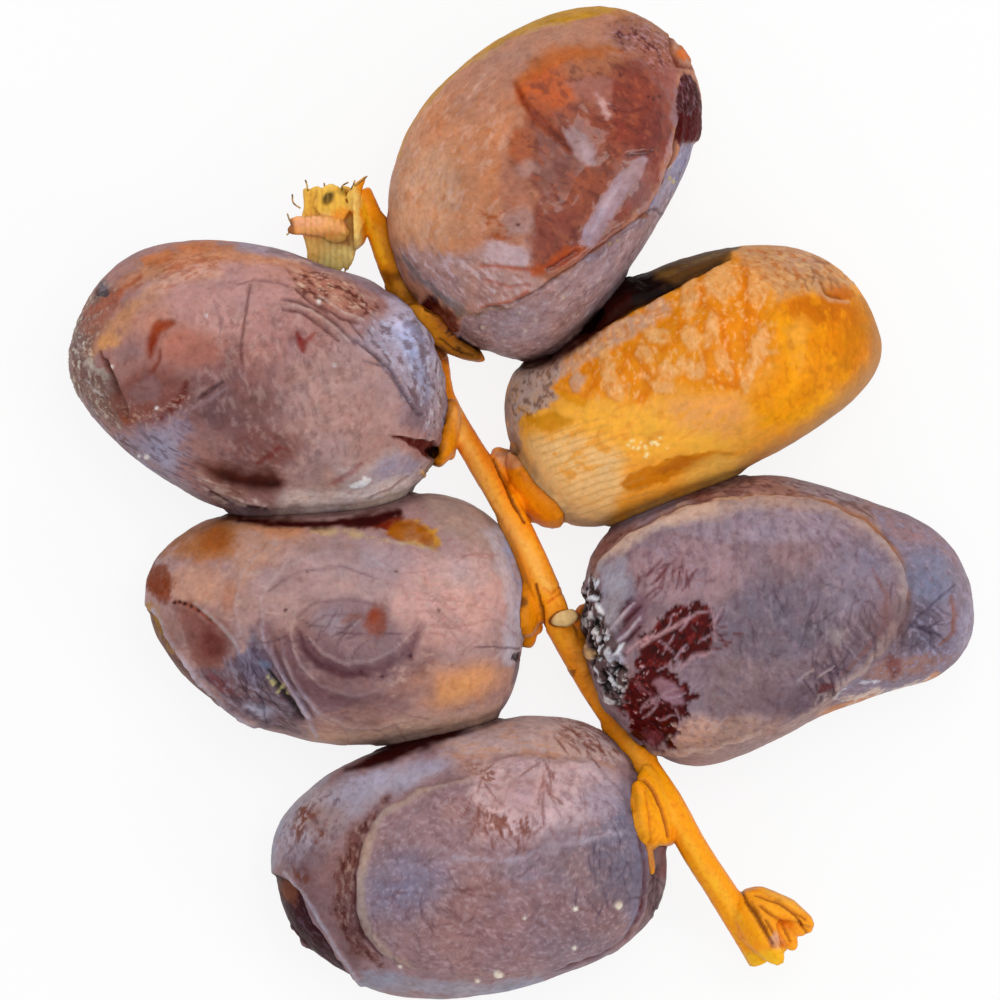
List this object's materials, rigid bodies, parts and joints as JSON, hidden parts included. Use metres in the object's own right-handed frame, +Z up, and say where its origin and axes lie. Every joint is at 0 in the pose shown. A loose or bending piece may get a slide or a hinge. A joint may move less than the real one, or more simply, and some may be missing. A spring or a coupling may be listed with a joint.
{
  "type": "date fruit strand",
  "caption": "Cut strand of ripe oval dates lying flat, each fruit seated in its cap on one thin curved stalk with an empty cap near each end.",
  "frame": {"origin": "on the surface that the fruits rest on, under the middle of the bounding box", "axes": "+Z up from the surface, +Y along the strand's longest extent towards its torn upper end, +X to the right as seen from above"},
  "size_m": [0.0948, 0.1042, 0.0247],
  "materials": {
    "stalk": "smooth waxy fresh stalk, pale and fibrous where it is torn or cut",
    "skin_tan": "ripe date skin, satin, with wet glossy patches and a grey waxy bloom",
    "skin_brown": "ripe date skin, satin, mauve brown under a blue-grey waxy bloom",
    "skin_amber": "half-ripe date skin, satin amber with raised tan wrinkles"
  },
  "bodies": {
    "root": {"strand": "stalk", "date_top": "skin_tan", "date_left_upper": "skin_brown", "date_right_upper": "skin_amber", "date_right_lower": "skin_brown", "date_left_lower": "skin_brown", "date_bottom": "skin_brown"}
  },
  "joints": []
}
